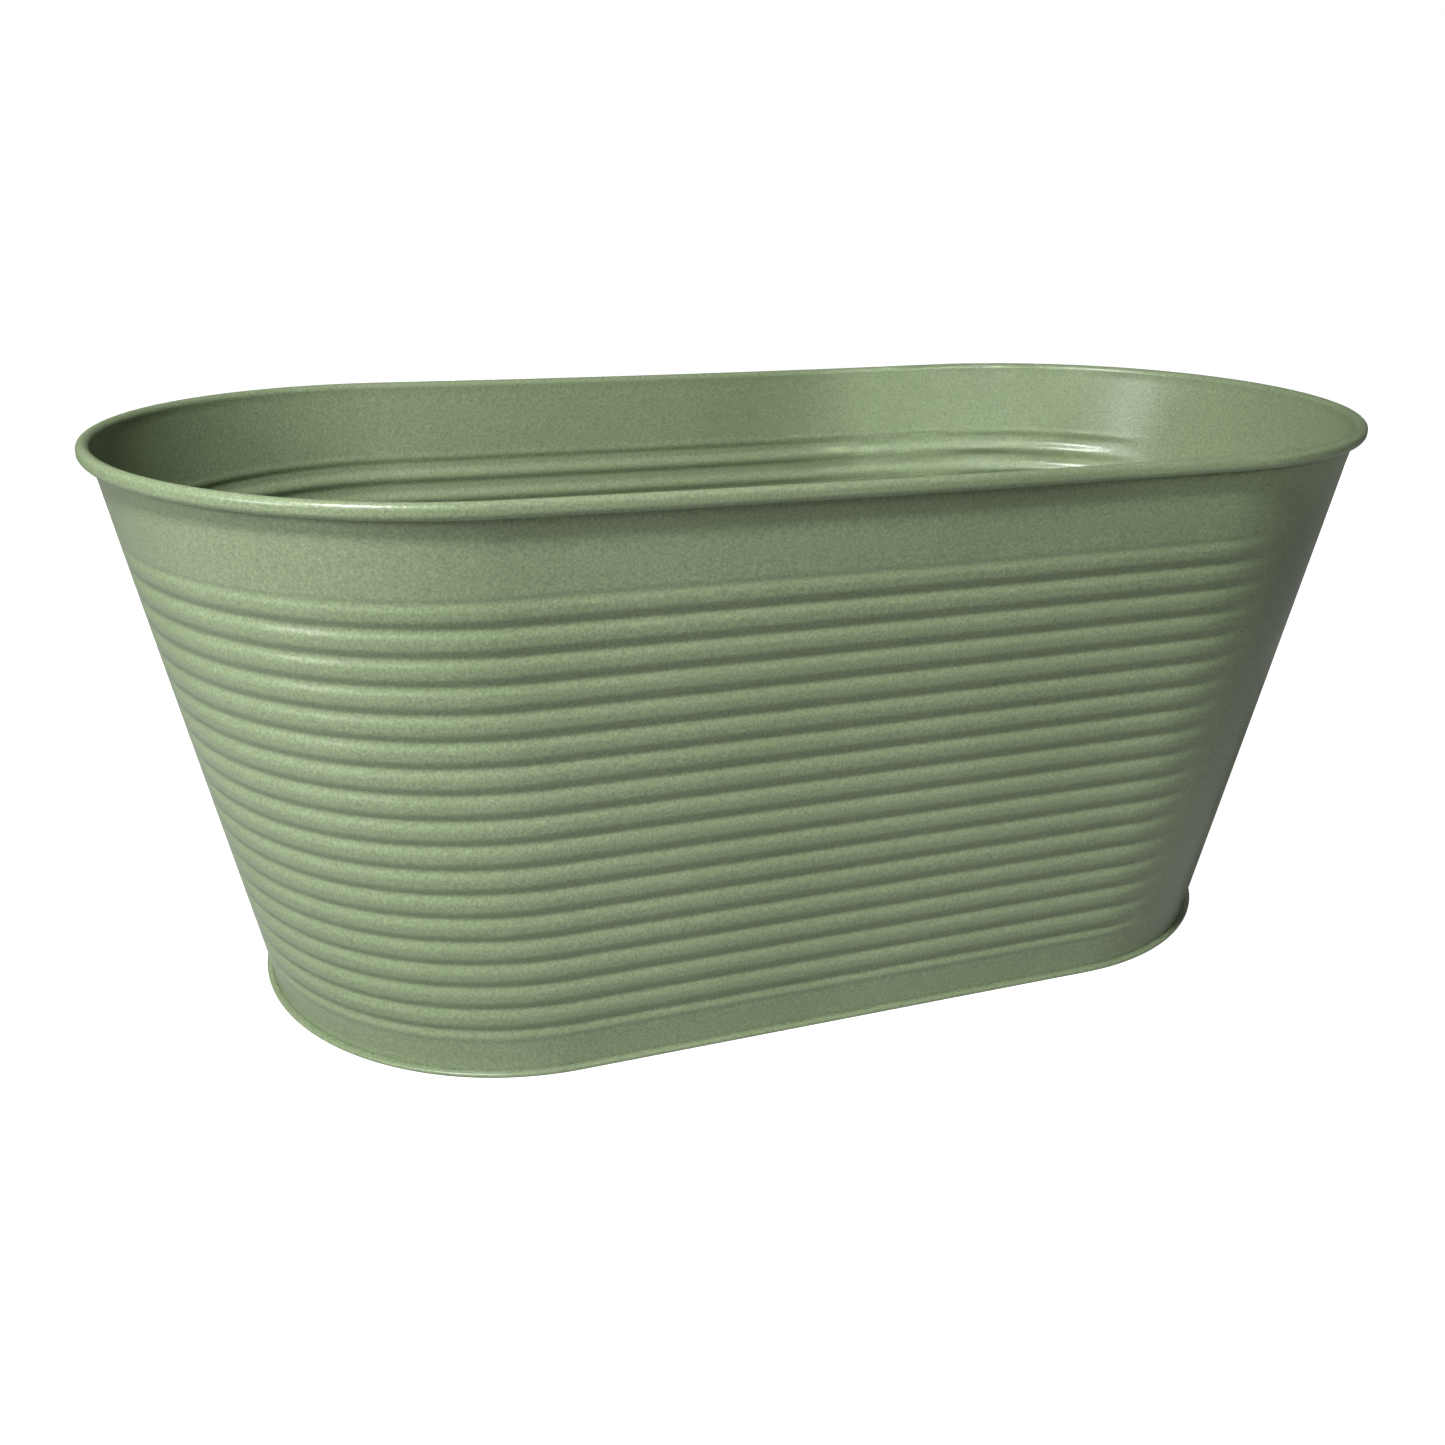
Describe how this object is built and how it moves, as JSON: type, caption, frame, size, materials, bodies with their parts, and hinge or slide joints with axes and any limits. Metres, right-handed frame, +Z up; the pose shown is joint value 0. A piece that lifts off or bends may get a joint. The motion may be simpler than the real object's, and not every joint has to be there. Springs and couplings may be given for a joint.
{
  "type": "oval ribbed steel tub",
  "caption": "Oval open tub of painted sheet steel with sloping ends, a rolled wired rim, shallow pressed ribs round its walls and a hemmed foot.",
  "frame": {"origin": "centre of the foot, on the ground", "axes": "+X along the length towards the right end, -Y is the front, +Z up"},
  "size_m": [0.436, 0.2072, 0.1861],
  "materials": {
    "painted_steel": "satin sage green paint on sheet steel, with a fine orange-peel grain",
    "bare_wire": "drawn steel wire, closed inside the rim",
    "seam_compound": "grey butyl sealing compound, closed inside the seams"
  },
  "bodies": {
    "root": {"front_wall": "painted_steel", "rear_wall": "painted_steel", "base_panel": "painted_steel", "rim_wire": "bare_wire", "foot_seam_sealant": "seam_compound", "left_seam_sealant": "seam_compound", "right_seam_sealant": "seam_compound"}
  },
  "joints": []
}
